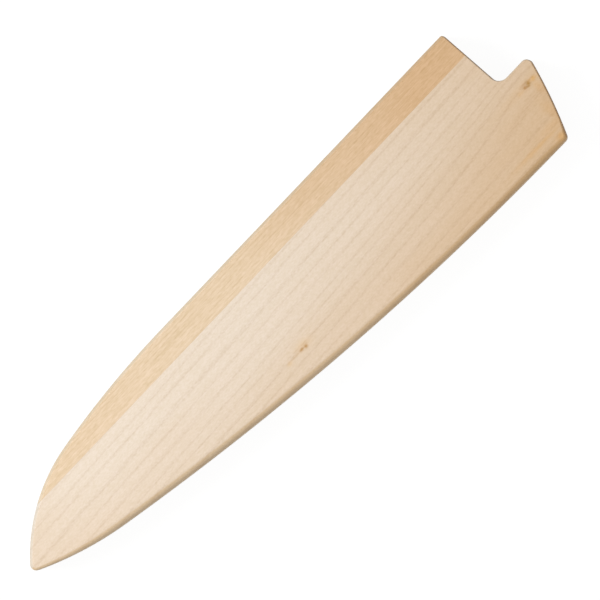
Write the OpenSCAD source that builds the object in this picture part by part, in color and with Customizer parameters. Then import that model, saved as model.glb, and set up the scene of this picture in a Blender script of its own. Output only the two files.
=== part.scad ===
// Guard for the blade of a chef's knife. Two routed halves of edge-glued maple are glued face to
// face round a slot that the blade slides into, and magnets under wooden caps hold the blade.
// X runs from the tip of the guard to its mouth, Y from the edge side to the spine side and Z from
// the back face to the front face. The origin is the middle of the back face. Sizes are in mm.

/* [Body] */
// Length from the tip to the end of the nose
guard_l = 232; // [220:1:250]
// Width from the spine side to the edge side
guard_w = 53; // [51:0.5:58]
// Thickness over both halves
guard_t = 15; // [14.5:0.5:18]
// Width of the strip that is glued along the spine side
strip_w = 10.2; // [7:0.1:12]

/* [Spine side] */
// Distance from the tip to where the straight spine starts to drop
spine_straight_x = 85; // [80:0.5:95]
// Radius of the first, gentle drop of the spine
spine_drop_r = 328; // [300:1:360]
// Radius of the sweep that follows it down to the tip
spine_sweep_r = 62; // [58:0.5:68]
// Rounding of the outer corners along the spine side and at the tip
spine_round = 1.2; // [0.5:0.1:1.5]

/* [Edge side] */
// Distance from the tip to where the edge side runs level with the spine
edge_level_x = 222.7; // [215:0.1:230]
// Radius of the long curve of the edge side
edge_long_r = 1035; // [950:5:1150]
// Radius of the belly that follows it up to the tip
edge_belly_r = 119; // [100:1:140]
// Rounding of the outer corners along the edge side, which fades over the belly to the tip's
edge_round = 2.6; // [1:0.1:3]

/* [Tip] */
// Depth of the tip below the line of the spine
tip_drop = 23.35; // [22:0.05:25]
// Radius of the tip
tip_r = 2; // [1.7:0.1:3]

/* [Mouth] */
// Reach of the nose past the short end, measured on the line of the spine
nose_l = 13.8; // [11:0.1:18]
// Depth of the nose's top below the line of the spine
nose_drop = 24.9; // [22:0.1:28]
// Slope of the nose's end where it starts at the top of the nose, in degrees from square
nose_slope = 16.5; // [12:0.5:20]
// Radius of the nose's end, which bulges a little
nose_end_r = 170; // [140:5:250]
// Lean of the short end, in degrees from square
short_end_lean = 2.6; // [0:0.2:5]
// Radius in the bottom of the notch
notch_r = 3.5; // [2:0.1:5]
// Radius of the corner between the spine side and the short end
spine_corner_r = 1; // [0.6:0.1:2]
// Radius of the corner at the top of the nose
nose_corner_r = 2; // [1:0.1:3]
// Radius of the corner between the nose's end and the edge side
heel_corner_r = 2; // [1:0.1:3]
// Rounding of the mouth's rims on both faces
mouth_round = 0.4; // [0.2:0.1:0.5]

/* [Blade slot] */
// Thickness of the slot over both halves
slot_t = 4.4; // [4.2:0.1:4.8]
// Width of the glued rim between the slot and the outside
rim_w = 3.6; // [3:0.1:5]
// Radius of the slot at its tip, left by the router
slot_tip_r = 3; // [2:0.1:4]
// Rounding of the slot's rims at the mouth, which leads the blade in
lead_in = 0.6; // [0.3:0.1:0.8]

/* [Magnets] */
// Number of magnets in each half
magnet_count = 4; // [2:1:6]
// Diameter of a magnet
magnet_d = 10; // [8:0.5:11]
// Thickness of a magnet
magnet_t = 2.5; // [1.5:0.1:2.8]
// Bevel round the rims of a magnet
magnet_bevel = 0.2; // [0.1:0.05:0.4]
// Diameter of the wooden cap over a magnet
cap_d = 12; // [11.5:0.5:13]
// Thickness of the cap
cap_t = 0.8; // [0.6:0.1:1]
// Glue clearance round a magnet and its cap
seat_gap = 0.05; // [0.02:0.01:0.15]
// Distance of the first magnet from the tip
magnet_first_x = 47; // [44:1:55]
// Distance of the last magnet from the short end
magnet_last_gap = 21; // [16:1:30]
// Depth of the row of magnets below the line of the spine
magnet_row_drop = 21; // [20:0.1:23]

/* [Hidden] */
// Largest gap between a curve and its facets
facet_gap = 0.02;
// Number of facets over a rounded corner
round_steps = 5;
// Number of facets over the small roundings of the mouth's and the slot's rims
rim_steps = 3;
// Number of facets over a corner of the mouth
corner_steps = 6;
// Distance over which the lead-in fades out beside the glued rims
lead_in_fade = 1.5;
// Direction at which a corner of the mouth runs out through the long side, in degrees
run_out = 75;
// Overshoot of a cut past the face that it opens
cut = 10;
$fn = 64;

// Places worked out from the sizes
half_t = guard_t / 2;
floor_z = slot_t / 2;
x_tip = -guard_l / 2;
x_past = guard_l / 2 + cut;
y_spine = guard_w / 2;
y_edge = -guard_w / 2;
y_joint = y_spine - strip_w;
short_end_x = guard_l - nose_l;
magnet_pitch = (short_end_x - magnet_last_gap - magnet_first_x) / (magnet_count - 1);

// Colours of the four kinds of piece
board_color = [0.91, 0.83, 0.73];
strip_color = [0.9, 0.79, 0.64];
cap_color = [0.88, 0.78, 0.66];
magnet_color = [0.76, 0.77, 0.79];

function dir(a) = [cos(a), sin(a)];
function heading(from, to) = atan2(to[1] - from[1], to[0] - from[0]);

// Where a circle about a meets a circle about b: side 1 is left of the way from a to b, -1 right
function meet(a, ra, b, rb, side) =
    let (d = norm(b - a))
    let (along = (d * d + ra * ra - rb * rb) / (2 * d))
    let (e = (b - a) / d)
    a + along * e + side * sqrt(ra * ra - along * along) * [-e[1], e[0]];

// Directions are counted from 0 to 360 degrees, so that the outline's always fall from 270 to 90
function turn(a) = a < 0 ? a + 360 : a;

// Facets that keep an arc within facet_gap of its curve
function steps(r, a0, a1) = ceil(abs(a1 - a0) * PI / 180 * sqrt(r / (8 * facet_gap)));

// The outline is a chain of arcs, each tangent to the next, from the edge side round the tip
tip_c = [x_tip + tip_r, y_spine - tip_drop];
spine_c1 = [x_tip + spine_straight_x, y_spine - spine_drop_r];
spine_c2 = meet(spine_c1, spine_drop_r - spine_sweep_r, tip_c, spine_sweep_r - tip_r, -1);
edge_c1 = [x_tip + edge_level_x, y_edge + edge_long_r];
edge_c2 = meet(edge_c1, edge_long_r - edge_belly_r, tip_c, edge_belly_r - tip_r, 1);
edge_a = turn(heading(edge_c1, edge_c2));
spine_a = turn(heading(spine_c1, spine_c2));

// The slot's outline lies rim_w inside it, with a tip of its own radius
slot_tip_c = meet(spine_c2, spine_sweep_r - rim_w - slot_tip_r,
                  edge_c2, edge_belly_r - rim_w - slot_tip_r, 1);

// Stations of an arc: point, direction that it faces, and rounding, which runs from q0 to q1
function run(c, r, a0, a1, q0, q1) =
    let (n = steps(r, a0, a1))
    [for (i = [0 : n - 1])
        let (a = a0 + (a1 - a0) * i / n)
        [c + r * dir(a), a, q0 + (q1 - q0) * i / n]];

// Stations of the whole outline, inset by w, round a tip of centre c and radius r
function outline(w, c, r, q_edge, q_spine) =
    let (tip_a0 = turn(heading(edge_c2, c)))
    let (tip_a1 = turn(heading(spine_c2, c)))
    concat(
        [[[x_past, y_edge + w], 270, q_edge]],
        run(edge_c1, edge_long_r - w, 270, edge_a, q_edge, q_edge),
        run(edge_c2, edge_belly_r - w, edge_a, tip_a0, q_edge, q_spine),
        run(c, r, tip_a0, tip_a1, q_spine, q_spine),
        run(spine_c2, spine_sweep_r - w, tip_a1, spine_a, q_spine, q_spine),
        run(spine_c1, spine_drop_r - w, spine_a, 90, q_spine, q_spine),
        [[[spine_c1[0], y_spine - w], 90, q_spine], [[x_past, y_spine - w], 90, q_spine]]);

// Solid through rings of points, from the lowest to the highest
module loft(rings) {
    n = len(rings[0]);
    top = (len(rings) - 1) * n;
    sides = [for (k = [0 : len(rings) - 2], i = [0 : n - 1])
        let (low = k * n, j = (i + 1) % n)
        each [[low + i, low + j, low + n + j], [low + i, low + n + j, low + n + i]]];
    polyhedron(
        [for (ring = rings) each ring],
        concat(sides, [[for (i = [0 : n - 1]) top + i]], [[for (i = [0 : n - 1]) n - 1 - i]]));
}

// Where a station's rounding has got to: a is 0 where it leaves the side and 90 at the face
function drawn_in(s, a) = s[0] - s[2] * (1 - cos(a)) * dir(s[1]);

// Ring of the rounded blank, whose rounding is not the same all round
function blank_ring(stations, a) = [for (s = stations)
    let (p = drawn_in(s, a))
    [p[0], p[1], half_t - s[2] * (1 - sin(a))]];

// Ring of stations that all lie at height z
function level_ring(stations, a, z) = [for (s = stations)
    let (p = drawn_in(s, a))
    [p[0], p[1], z]];

// Half of the guard before its mouth and slot are cut, from the glued plane up to the outer face
module half_blank() {
    stations = outline(0, tip_c, tip_r, edge_round, spine_round);
    rounded = [for (k = [0 : round_steps]) blank_ring(stations, 90 * k / round_steps)];
    loft(concat([level_ring(stations, 0, 0)], rounded));
}

// From distance along the guard and depth below the spine to the guard's own frame
function place(p) = [x_tip + p[0], y_spine - p[1]];

// Rounding of the slot's rim at a depth below the spine: none where the glued rims end
function lead_in_at(drop) =
    lead_in * max(0, min(1, (min(drop, guard_w - drop) - rim_w) / lead_in_fade));

// Station of the mouth's wall: plan point, direction that it faces and rounding of the slot's rim
function station(p, a) = [place(p), a, lead_in_at(p[1])];

// A corner of the mouth, as directions measured from the mouth towards the edge side
function corner(c, r, a0, a1, first = 0, hollow = false) = [for (i = [first : corner_steps])
    let (a = a0 + (a1 - a0) * i / corner_steps)
    station(c + r * dir(a), hollow ? 180 - a : -a)];

// Stations of the mouth, from beyond the spine side to beyond the edge side
function mouth() =
    let (lean = short_end_lean)
    let (top_c = [short_end_x + spine_corner_r * (tan(lean) - 1 / cos(lean)), spine_corner_r])
    let (notch_d = nose_drop - notch_r)
    let (notch_c = [short_end_x + notch_d * tan(lean) + notch_r / cos(lean), notch_d])
    let (nose_c = [guard_l - nose_corner_r, nose_drop + nose_corner_r])
    let (end_c = nose_c - (nose_end_r - nose_corner_r) * dir(nose_slope))
    let (heel_slope = asin((guard_w - heel_corner_r - end_c[1]) / (nose_end_r - heel_corner_r)))
    let (heel_c = end_c + (nose_end_r - heel_corner_r) * dir(heel_slope))
    let (full_slope = asin((guard_w - rim_w - lead_in_fade - end_c[1]) / nose_end_r))
    let (rim_slope = asin((guard_w - rim_w - end_c[1]) / nose_end_r))
    concat(
        [station(top_c + spine_corner_r * dir(-run_out) - cut * dir(90 - run_out), run_out)],
        corner(top_c, spine_corner_r, -run_out, -lean),
        [for (drop = [rim_w, rim_w + lead_in_fade])
            station([short_end_x + drop * tan(lean), drop], lean)],
        corner(notch_c, notch_r, 180 - lean, 90, hollow = true),
        corner(nose_c, nose_corner_r, -90, nose_slope),
        corner(end_c, nose_end_r, nose_slope, full_slope, first = 1),
        [station(end_c + nose_end_r * dir(rim_slope), -rim_slope)],
        corner(heel_c, heel_corner_r, heel_slope, run_out),
        [station(heel_c + heel_corner_r * dir(run_out) + cut * dir(90 + run_out), -run_out)]);

// Everything that the mouth leaves standing, with its rims rounded at the slot and at the face
module mouth_block() {
    far = [[place([-cut, guard_w + cut]), 180, 0], [place([-cut, -cut]), 180, 0]];
    inner = concat(far, mouth());
    outer = concat(far, [for (s = mouth()) [s[0], s[1], mouth_round]]);
    slot_rings = [for (k = [rim_steps : -1 : 0])
        let (a = 90 * k / rim_steps)
        level_ring(inner, a, floor_z + lead_in * (1 - sin(a)))];
    face_rings = [for (k = [0 : rim_steps])
        let (a = 90 * k / rim_steps)
        level_ring(outer, a, half_t - mouth_round * (1 - sin(a)))];
    loft(concat(
        [level_ring(inner, 90, -cut)], slot_rings, face_rings, [level_ring(outer, 90, half_t + cut)]));
}

// Plan of the routed slot, open at the mouth
module slot_plan() {
    polygon([for (s = outline(rim_w, slot_tip_c, slot_tip_r, 0, 0)) s[0]]);
}

// Sets its children at magnet i, with z measured from the slot's floor into the wood
module at_magnet(i) {
    p = place([magnet_first_x + i * magnet_pitch, magnet_row_drop]);
    translate([p[0], p[1], floor_z]) children();
}

// Counterbored seat of one magnet and its cap
module magnet_seat() {
    translate([0, 0, -floor_z]) cylinder(r = cap_d / 2 + seat_gap, h = floor_z + cap_t);
    cylinder(r = magnet_d / 2 + seat_gap, h = cap_t + magnet_t);
}

// One half of the guard: the glued plane is at z 0 and the outer face at half_t
module half_guard() {
    difference() {
        intersection() {
            half_blank();
            mouth_block();
        }
        translate([0, 0, -cut]) linear_extrude(cut + floor_z) slot_plan();
    }
}

module half_strip() {
    intersection() {
        half_guard();
        translate([x_tip - cut, y_joint, -cut]) cube([guard_l + 2 * cut, strip_w + cut, guard_t + cut]);
    }
}

module half_board() {
    difference() {
        intersection() {
            half_guard();
            translate([x_tip - cut, y_edge - cut, -cut])
                cube([guard_l + 2 * cut, guard_w - strip_w + cut, guard_t + cut]);
        }
        for (i = [0 : magnet_count - 1]) at_magnet(i) magnet_seat();
    }
}

module half_magnet(i) {
    b = magnet_bevel;
    at_magnet(i) translate([0, 0, cap_t]) rotate_extrude()
        polygon([[0, 0], [magnet_d / 2 - b, 0], [magnet_d / 2, b],
                 [magnet_d / 2, magnet_t - b], [magnet_d / 2 - b, magnet_t], [0, magnet_t]]);
}

module half_cap(i) {
    at_magnet(i) cylinder(r = cap_d / 2, h = cap_t);
}

module front() { translate([0, 0, half_t]) children(); }
module back() { translate([0, 0, half_t]) mirror([0, 0, 1]) children(); }

module front_spine_strip() { color(strip_color) front() half_strip(); }
module front_blade_board() { color(board_color) front() half_board(); }
module back_spine_strip() { color(strip_color) back() half_strip(); }
module back_blade_board() { color(board_color) back() half_board(); }
module front_magnet(i) { color(magnet_color) front() half_magnet(i); }
module back_magnet(i) { color(magnet_color) back() half_magnet(i); }
module front_magnet_cap(i) { color(cap_color) front() half_cap(i); }
module back_magnet_cap(i) { color(cap_color) back() half_cap(i); }

function numbered(name) = [for (i = [1 : magnet_count]) str(name, "_", i)];

front_spine_strip();
front_blade_board();
back_spine_strip();
back_blade_board();
for (i = [0 : magnet_count - 1]) {
    front_magnet(i);
    front_magnet_cap(i);
    back_magnet(i);
    back_magnet_cap(i);
}
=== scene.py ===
import math

import bmesh
import bpy
from mathutils import Matrix, Vector


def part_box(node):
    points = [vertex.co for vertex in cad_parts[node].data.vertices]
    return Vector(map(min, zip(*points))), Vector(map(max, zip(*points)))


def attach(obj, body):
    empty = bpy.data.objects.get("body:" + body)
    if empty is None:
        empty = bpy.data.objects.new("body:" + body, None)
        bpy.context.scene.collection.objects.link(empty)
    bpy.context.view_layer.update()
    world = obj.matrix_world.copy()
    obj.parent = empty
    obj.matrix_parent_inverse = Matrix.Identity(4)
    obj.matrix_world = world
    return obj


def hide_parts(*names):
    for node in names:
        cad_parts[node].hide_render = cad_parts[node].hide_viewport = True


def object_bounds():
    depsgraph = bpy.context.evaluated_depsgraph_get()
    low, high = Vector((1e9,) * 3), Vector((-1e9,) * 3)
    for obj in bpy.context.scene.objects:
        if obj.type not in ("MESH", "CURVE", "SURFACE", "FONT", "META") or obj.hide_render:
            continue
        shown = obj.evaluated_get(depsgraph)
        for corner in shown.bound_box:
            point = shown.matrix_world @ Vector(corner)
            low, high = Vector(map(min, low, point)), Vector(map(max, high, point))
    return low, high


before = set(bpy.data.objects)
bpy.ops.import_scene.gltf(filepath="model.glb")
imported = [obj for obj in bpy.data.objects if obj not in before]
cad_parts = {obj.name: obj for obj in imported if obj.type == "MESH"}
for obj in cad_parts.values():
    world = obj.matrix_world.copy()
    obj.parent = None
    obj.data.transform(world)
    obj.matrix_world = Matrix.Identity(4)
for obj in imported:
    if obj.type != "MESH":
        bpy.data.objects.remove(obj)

# The guard lies on its back face. X runs from its tip to its mouth, Y from the edge side to the
# spine side and Z from the back face to the front face. Everything is in metres.
MM = 0.001
CAD_LOW, CAD_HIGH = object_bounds()

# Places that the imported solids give
TIP_X = CAD_LOW.x
NOSE_X = CAD_HIGH.x
SPINE_Y = CAD_HIGH.y
BACK_Z = CAD_LOW.z
FRONT_Z = CAD_HIGH.z
GLUE_Z = (BACK_Z + FRONT_Z) / 2
JOINT_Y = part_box("front_spine_strip")[0].y
SLOT_LOW_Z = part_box("back_magnet_cap_1")[1].z
SLOT_HIGH_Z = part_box("front_magnet_cap_1")[0].z

# Curves of the outline, as the boards are cut
WIDTH = 53 * MM
EDGE_Y = SPINE_Y - WIDTH
SPINE_STRAIGHT_X = TIP_X + 85 * MM
SPINE_DROP_R = 328 * MM
SPINE_SWEEP_R = 62 * MM
EDGE_LEVEL_X = TIP_X + 222.7 * MM
EDGE_LONG_R = 1035 * MM
EDGE_BELLY_R = 119 * MM
TIP_DROP = 23.35 * MM
TIP_R = 2 * MM
SPINE_ROUND = 1.2 * MM
EDGE_ROUND = 2.6 * MM

# Mouth: the short end, the notch and the nose
NOSE_REACH = 13.8 * MM
NOSE_DROP = 24.9 * MM
NOSE_SLOPE = 16.5
NOSE_END_R = 170 * MM
SHORT_END_LEAN = 2.6
SHORT_END_X = NOSE_X - NOSE_REACH
NOTCH_R = 3.5 * MM
SPINE_CORNER_R = 1 * MM
NOSE_CORNER_R = 2 * MM
HEEL_CORNER_R = 2 * MM
MOUTH_ROUND = 0.4 * MM

# The rounding goes over from the edge side's to the mouth's before, round and past the heel corner
HEEL_FADE = 5 * MM
HEEL_FADE_STEPS = 5
HEEL_ROUND_EDGE = 1.9 * MM
HEEL_ROUND_END = 1.1 * MM

# Blade slot, whose rims at the mouth are rounded up to where the glued rims begin
RIM_W = 3.6 * MM
SLOT_TIP_R = 3 * MM
LEAD_IN = 0.6 * MM
LEAD_IN_FADE = 1.5 * MM

# Seats of the magnets
SEAT_GAP = 0.05 * MM
SEAT_OVERLAP = 0.5 * MM
SEAT_STEPS = 64
MAGNET_NUMBERS = (1, 2, 3, 4)

# Discs of the magnets and of their caps
MAGNET_ROUND = 0.2 * MM
CAP_ROUND = 0.05 * MM
DISC_SIDES = 96
RIM_STEPS = 3

# Angle, in degrees, from which two faces meet in a sharp edge
SHARP_FROM = 35

# Fineness of the curves
CHORD_GAP = 0.002 * MM
MIN_ARC_STEPS = 4
ROUND_STEPS = 12
CORNER_STEPS = 12
NOSE_END_STEPS = 24
LEAD_IN_STEPS = 4
WALL_SPACING = 1 * MM

# How far cutting solids reach past the guard, and how far the lead-in's stays clear of the mouth
REACH = 10 * MM
CLEAR = 0.05 * MM

# Points closer than this are one: in the seats' cutter, and in a piece that has been cut
SAME_POINT = 0.001 * MM
SPECK = 0.004 * MM


def direction(degrees):
    """Unit vector in plan."""
    angle = math.radians(degrees)
    return Vector((math.cos(angle), math.sin(angle)))


def heading(start, end):
    """Direction from one point to another, from 0 to 360 degrees."""
    way = end - start
    return math.degrees(math.atan2(way.y, way.x)) % 360


def meet(a, radius_a, b, radius_b, side):
    """Where two circles meet: side 1 is left of the way from a to b, and -1 right."""
    way = b - a
    along = (way.length_squared + radius_a ** 2 - radius_b ** 2) / (2 * way.length)
    across = side * math.sqrt(radius_a ** 2 - along ** 2)
    way.normalize()
    return a + along * way + across * Vector((-way.y, way.x))


def arc(centre, radius, start, end, round_start, round_end):
    """Stations of an arc: point, direction that it faces and rounding of its rim."""
    sweep = end - start
    count = math.ceil(abs(math.radians(sweep)) * math.sqrt(radius / (8 * CHORD_GAP)))
    count = max(count, MIN_ARC_STEPS)
    stations = []
    for i in range(count):
        share = i / count
        facing = start + sweep * share
        rounding = round_start + (round_end - round_start) * share
        stations.append((centre + radius * direction(facing), facing, rounding))
    return stations


TIP_C = Vector((TIP_X + TIP_R, SPINE_Y - TIP_DROP))
SPINE_C1 = Vector((SPINE_STRAIGHT_X, SPINE_Y - SPINE_DROP_R))
SPINE_C2 = meet(SPINE_C1, SPINE_DROP_R - SPINE_SWEEP_R, TIP_C, SPINE_SWEEP_R - TIP_R, -1)
EDGE_C1 = Vector((EDGE_LEVEL_X, EDGE_Y + EDGE_LONG_R))
EDGE_C2 = meet(EDGE_C1, EDGE_LONG_R - EDGE_BELLY_R, TIP_C, EDGE_BELLY_R - TIP_R, 1)
SLOT_TIP_C = meet(SPINE_C2, SPINE_SWEEP_R - RIM_W - SLOT_TIP_R,
                  EDGE_C2, EDGE_BELLY_R - RIM_W - SLOT_TIP_R, 1)


def outline(inset, tip_centre, tip_radius, edge_round, spine_round, edge_start=270):
    """Stations round the long outline, from the edge side past the tip to the spine side."""
    past = NOSE_X + REACH
    edge_turn = heading(EDGE_C1, EDGE_C2)
    spine_turn = heading(SPINE_C1, SPINE_C2)
    tip_start = heading(EDGE_C2, tip_centre)
    tip_end = heading(SPINE_C2, tip_centre)
    return [
        (Vector((past, EDGE_Y + inset)), 270, edge_round),
        *arc(EDGE_C1, EDGE_LONG_R - inset, edge_start, edge_turn, edge_round, edge_round),
        *arc(EDGE_C2, EDGE_BELLY_R - inset, edge_turn, tip_start, edge_round, spine_round),
        *arc(tip_centre, tip_radius, tip_start, tip_end, spine_round, spine_round),
        *arc(SPINE_C2, SPINE_SWEEP_R - inset, tip_end, spine_turn, spine_round, spine_round),
        *arc(SPINE_C1, SPINE_DROP_R - inset, spine_turn, 90, spine_round, spine_round),
        (Vector((SPINE_STRAIGHT_X, SPINE_Y - inset)), 90, spine_round),
        (Vector((past, SPINE_Y - inset)), 90, spine_round),
    ]


def in_scene(name, data):
    """New object in the scene, with the given mesh, camera or light."""
    obj = bpy.data.objects.new(name, data)
    bpy.context.scene.collection.objects.link(obj)
    return obj


def new_object(name, bm):
    """Object made from a bmesh, with its normals turned outward."""
    bmesh.ops.recalc_face_normals(bm, faces=bm.faces)
    mesh = bpy.data.meshes.new(name)
    bm.to_mesh(mesh)
    bm.free()
    return in_scene(name, mesh)


def loft(name, rings):
    """Closed solid through rings of points, from the lowest ring to the highest."""
    bm = bmesh.new()
    rows = [[bm.verts.new(point) for point in ring] for ring in rings]
    count = len(rows[0])
    for low, high in zip(rows, rows[1:]):
        for i in range(count):
            j = (i + 1) % count
            bm.faces.new((low[i], low[j], high[j], high[i]))
    bm.faces.new(rows[0])
    bm.faces.new(rows[-1])
    return new_object(name, bm)


def rounding_steps(steps):
    """Share of the radius by which each ring of a rounded rim lies in from the side and the face."""
    angles = [math.radians(90 * k / steps) for k in range(steps + 1)]
    return [(1 - math.cos(angle), 1 - math.sin(angle)) for angle in angles]


def drawn_in(stations, share, z_of):
    """Ring of a solid: each station drawn in by its share of its rounding, at its own height."""
    ring = []
    for point, facing, rounding in stations:
        plan = point - rounding * share * direction(facing)
        ring.append((plan.x, plan.y, z_of(rounding)))
    return ring


def from_spine(along, drop):
    """Plan point from a place along X and a depth below the spine."""
    return Vector((along, SPINE_Y - drop))


# Centres of the mouth's corners and of the nose's end, as places along X and depths
LEAN = math.radians(SHORT_END_LEAN)
TOP_C = Vector((SHORT_END_X + SPINE_CORNER_R * (math.tan(LEAN) - 1 / math.cos(LEAN)),
                SPINE_CORNER_R))
NOTCH_DROP = NOSE_DROP - NOTCH_R
NOTCH_C = Vector((SHORT_END_X + NOTCH_DROP * math.tan(LEAN) + NOTCH_R / math.cos(LEAN),
                  NOTCH_DROP))
NOSE_C = Vector((NOSE_X - NOSE_CORNER_R, NOSE_DROP + NOSE_CORNER_R))
END_C = NOSE_C - (NOSE_END_R - NOSE_CORNER_R) * direction(NOSE_SLOPE)
HEEL_SLOPE = math.degrees(math.asin((WIDTH - HEEL_CORNER_R - END_C.y)
                                    / (NOSE_END_R - HEEL_CORNER_R)))
HEEL_C = END_C + (NOSE_END_R - HEEL_CORNER_R) * direction(HEEL_SLOPE)


def edge_facing(along):
    """Direction that the long curve of the edge side faces at a place along X."""
    return 270 - math.degrees(math.asin((EDGE_C1.x - along) / EDGE_LONG_R))


def corner(centre, radius, start, end, steps=CORNER_STEPS, hollow=False):
    """Stations of a corner of the mouth, whose angles turn from the mouth to the edge side."""
    stations = []
    for i in range(steps + 1):
        angle = start + (end - start) * i / steps
        way = direction(angle)
        point = from_spine(centre.x + radius * way.x, centre.y + radius * way.y)
        stations.append((point, (180 - angle if hollow else -angle)))
    return stations


def between(first, last):
    """Stations of a straight wall, between two others that face the same way."""
    count = max(int((last[0] - first[0]).length / WALL_SPACING), 1)
    return [(first[0].lerp(last[0], i / count), first[1]) for i in range(1, count)]


def mouth_walls():
    """Point and direction along the mouth, between the corners at its two long sides."""
    first = corner(TOP_C, SPINE_CORNER_R, -90, -SHORT_END_LEAN)[-1]
    notch_corner = corner(NOTCH_C, NOTCH_R, 180 - SHORT_END_LEAN, 90, hollow=True)
    nose_corner = corner(NOSE_C, NOSE_CORNER_R, -90, NOSE_SLOPE)
    nose_end = corner(END_C, NOSE_END_R, NOSE_SLOPE, HEEL_SLOPE, steps=NOSE_END_STEPS)
    return [
        first,
        *between(first, notch_corner[0]),
        *notch_corner,
        *between(notch_corner[-1], nose_corner[0]),
        *nose_corner,
        *nose_end[1:],
    ]


def with_rounding(stations, first, last):
    """Gives a corner's stations a rounding that goes over from one side's to the other's."""
    share = 1 / (len(stations) - 1)
    return [(point, facing, first + (last - first) * i * share)
            for i, (point, facing) in enumerate(stations)]


def rounded_blank():
    """The whole guard without its slot, rounded along both faces."""
    start, fade_end = edge_facing(HEEL_C.x), edge_facing(HEEL_C.x - HEEL_FADE)
    long_sides = outline(0, TIP_C, TIP_R, EDGE_ROUND, SPINE_ROUND, edge_start=fade_end)
    spine_corner = corner(TOP_C, SPINE_CORNER_R, -90, -SHORT_END_LEAN)
    heel_corner = corner(HEEL_C, HEEL_CORNER_R, HEEL_SLOPE, 90)
    walls = mouth_walls()[1:-1]
    stations = [
        *arc(EDGE_C1, EDGE_LONG_R, start, fade_end, HEEL_ROUND_EDGE, EDGE_ROUND),
        *long_sides[1:-1],
        *with_rounding(spine_corner, SPINE_ROUND, MOUTH_ROUND),
        *with_rounding(walls[:-HEEL_FADE_STEPS], MOUTH_ROUND, MOUTH_ROUND),
        *with_rounding(walls[-HEEL_FADE_STEPS:], MOUTH_ROUND, HEEL_ROUND_END),
        *with_rounding(heel_corner, HEEL_ROUND_END, HEEL_ROUND_EDGE)[:-1],
    ]
    steps = rounding_steps(ROUND_STEPS)
    back = [drawn_in(stations, inset, lambda r, rise=rise: BACK_Z + r * rise)
            for inset, rise in reversed(steps)]
    front = [drawn_in(stations, inset, lambda r, drop=drop: FRONT_Z - r * drop)
             for inset, drop in steps]
    return loft("blank", back + front)


def lead_in_at(point):
    """Rounding of the slot's rim at a point of the mouth: none where the glued rims end."""
    drop = SPINE_Y - point.y
    inside = min(drop - RIM_W, WIDTH - RIM_W - drop)
    return LEAD_IN * min(max(inside / LEAD_IN_FADE, 0), 1)


def lead_in_block():
    """Everything that the slot's lead-in leaves standing, just clear of the rest of the mouth."""
    walls = mouth_walls()
    far = [(Vector((TIP_X - REACH, EDGE_Y - REACH)), 180, 0),
           (Vector((TIP_X - REACH, SPINE_Y + REACH)), 180, 0)]
    (first, first_facing), (last, last_facing) = walls[0], walls[-1]
    stations = far + [(first + REACH * direction(first_facing + 90), first_facing, 0)]
    stations += [(point, facing, lead_in_at(point)) for point, facing in walls]
    stations.append((last + REACH * direction(last_facing - 90), last_facing, 0))
    stations = [(point + CLEAR * direction(facing), facing, rounding)
                for point, facing, rounding in stations]
    steps = rounding_steps(LEAD_IN_STEPS)
    rings = [drawn_in(stations, 0, lambda r: BACK_Z - REACH)]
    rings += [drawn_in(stations, inset, lambda r, drop=drop: SLOT_LOW_Z - LEAD_IN * drop)
              for inset, drop in steps]
    rings += [drawn_in(stations, inset, lambda r, rise=rise: SLOT_HIGH_Z + LEAD_IN * rise)
              for inset, rise in reversed(steps)]
    rings.append(drawn_in(stations, 0, lambda r: FRONT_Z + REACH))
    return loft("lead_in", rings)


def prism(name, points, low, high):
    """Upright block with the given plan."""
    return loft(name, [[(p.x, p.y, z) for p in points] for z in (low, high)])


def block(name, low, high):
    """Plain box that is only used for cutting."""
    return prism(name, [Vector((low[0], low[1])), Vector((high[0], low[1])),
                        Vector((high[0], high[1])), Vector((low[0], high[1]))], low[2], high[2])


def apply_modifiers(obj):
    """Gives an object a plain mesh with its modifiers applied, in place of its old one."""
    graph = bpy.context.evaluated_depsgraph_get()
    mesh = bpy.data.meshes.new_from_object(obj.evaluated_get(graph))
    obj.modifiers.clear()
    old = obj.data
    obj.data = mesh
    bpy.data.meshes.remove(old)


def cut(obj, tool, operation, keep_tool=False):
    """Cuts an object with another solid and returns it."""
    modifier = obj.modifiers.new("cut", "BOOLEAN")
    modifier.operation = operation
    modifier.solver = "EXACT"
    modifier.object = tool
    apply_modifiers(obj)
    if not keep_tool:
        bpy.data.objects.remove(tool)
    return obj


def whole_guard():
    """Both halves in one, with the slot cut."""
    guard = rounded_blank()
    cut(guard, lead_in_block(), "INTERSECT")
    slot_plan = [station[0] for station in outline(RIM_W, SLOT_TIP_C, SLOT_TIP_R, 0, 0)]
    return cut(guard, prism("slot", slot_plan, SLOT_LOW_Z, SLOT_HIGH_Z), "DIFFERENCE")


def part_of(guard, name, low, high):
    """The stretch of the guard that lies inside a box, as an object of its own."""
    piece = in_scene(name, guard.data.copy())
    return cut(piece, block("cutter", low, high), "INTERSECT")


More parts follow.
